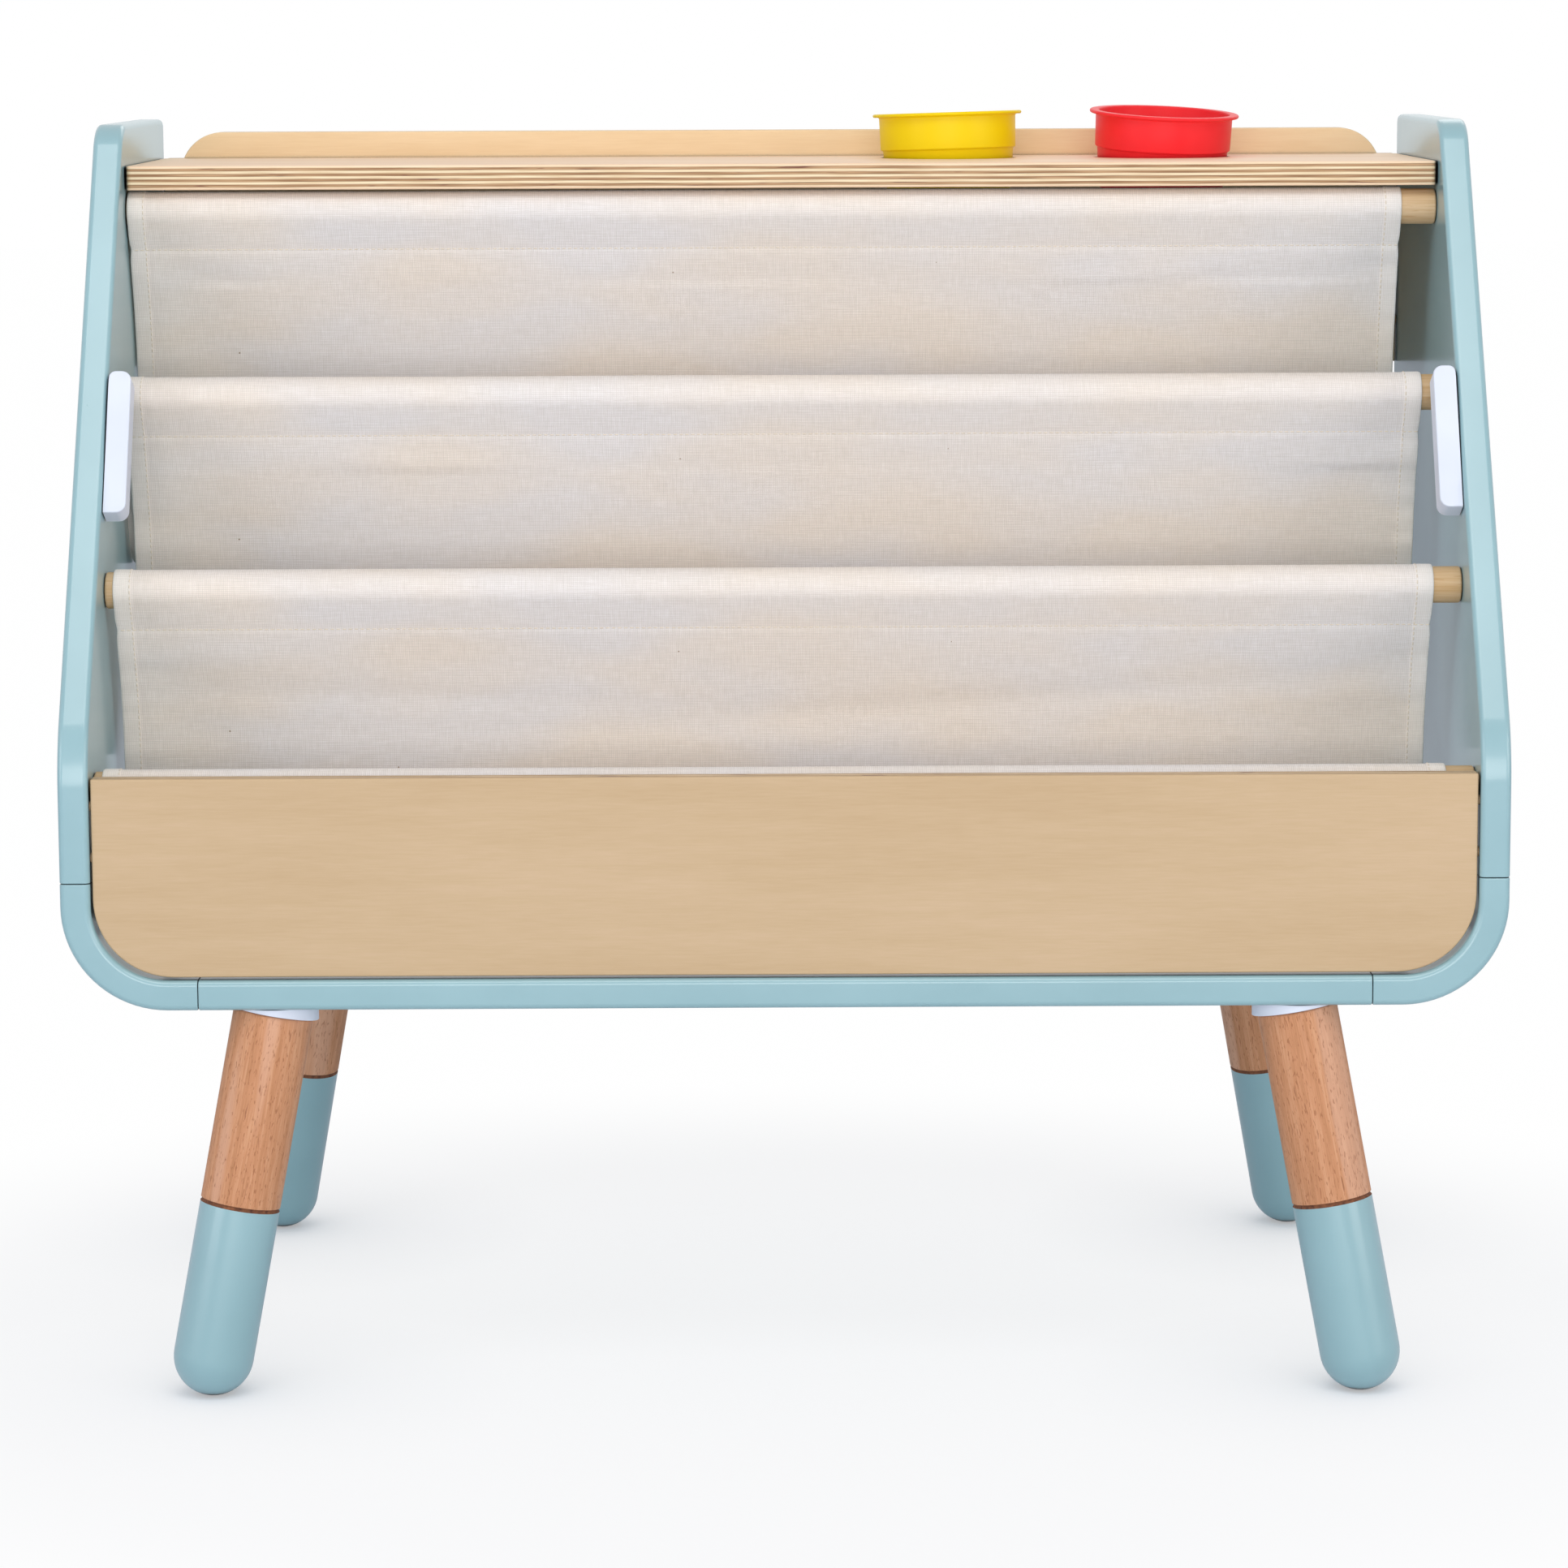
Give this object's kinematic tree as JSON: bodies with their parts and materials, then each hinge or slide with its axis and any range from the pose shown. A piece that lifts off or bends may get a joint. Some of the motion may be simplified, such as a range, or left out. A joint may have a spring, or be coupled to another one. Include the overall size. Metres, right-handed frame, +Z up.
{
  "type": "children's sling bookshelf",
  "caption": "Low bookshelf for children: painted wooden body on splayed legs, canvas slings on rails that hold books cover forward, and a top shelf with lift-out cups.",
  "frame": {"origin": "on the floor, under the middle of the body", "axes": "+X to the right as seen from the front, +Y to the back, +Z up; the slings and the front panel face -Y"},
  "size_m": [0.85, 0.4406, 0.7537],
  "materials": {
    "aqua_paint": "board with a satin pale aqua lacquer",
    "plywood": "birch plywood, clear matt varnish",
    "rail_wood": "turned pine rod, sanded",
    "beech": "turned beech, clear satin varnish",
    "pin_wood": "plain hardwood dowel",
    "canvas": "undyed plain-woven cotton canvas",
    "white_plastic": "moulded, satin",
    "yellow_plastic": "moulded, satin",
    "red_plastic": "moulded, satin",
    "steel": "zinc plated"
  },
  "bodies": {
    "root": {"back_board": "plywood", "back_board_pin_1": "pin_wood", "back_board_pin_2": "pin_wood", "back_board_pin_3": "pin_wood", "back_board_pin_4": "pin_wood", "base_board": "aqua_paint", "corner_left": "aqua_paint", "corner_pin_1": "pin_wood", "corner_pin_2": "pin_wood", "corner_pin_3": "pin_wood", "corner_pin_4": "pin_wood", "corner_pin_5": "pin_wood", "corner_pin_6": "pin_wood", "corner_pin_7": "pin_wood", "corner_pin_8": "pin_wood", "corner_right": "aqua_paint", "front_panel": "plywood", "front_panel_pin_1": "pin_wood", "front_panel_pin_2": "pin_wood", "front_panel_pin_3": "pin_wood", "front_panel_pin_4": "pin_wood", "hand_grip_left": "white_plastic", "hand_grip_right": "white_plastic", "hanger_bolt_back_left": "steel", "hanger_bolt_back_right": "steel", "hanger_bolt_front_left": "steel", "hanger_bolt_front_right": "steel", "leg_back_left": "beech", "leg_back_right": "beech", "leg_front_left": "beech", "leg_front_right": "beech", "leg_mount_back_left": "white_plastic", "leg_mount_back_right": "white_plastic", "leg_mount_front_left": "white_plastic", "leg_mount_front_right": "white_plastic", "mount_screw_back_left_1": "steel", "mount_screw_back_left_2": "steel", "mount_screw_back_right_1": "steel", "mount_screw_back_right_2": "steel", "mount_screw_front_left_1": "steel", "mount_screw_front_left_2": "steel", "mount_screw_front_right_1": "steel", "mount_screw_front_right_2": "steel", "rail_front": "rail_wood", "rail_lower": "rail_wood", "rail_top": "rail_wood", "rail_upper": "rail_wood", "shelf_pin_1": "pin_wood", "shelf_pin_2": "pin_wood", "shelf_pin_3": "pin_wood", "shelf_pin_4": "pin_wood", "side_panel_left": "aqua_paint", "side_panel_right": "aqua_paint", "sling_lower": "canvas", "sling_middle": "canvas", "sling_upper": "canvas", "top_shelf": "plywood"},
    "yellow_cup": {"yellow_cup": "yellow_plastic"},
    "red_cup": {"red_cup": "red_plastic"}
  },
  "joints": [
    {"name": "yellow_cup_lift", "type": "slide", "parent": "root", "child": "yellow_cup", "axis": [0, 0, 1], "range_m": [0, 0.06]},
    {"name": "red_cup_lift", "type": "slide", "parent": "root", "child": "red_cup", "axis": [0, 0, 1], "range_m": [0, 0.06]}
  ]
}
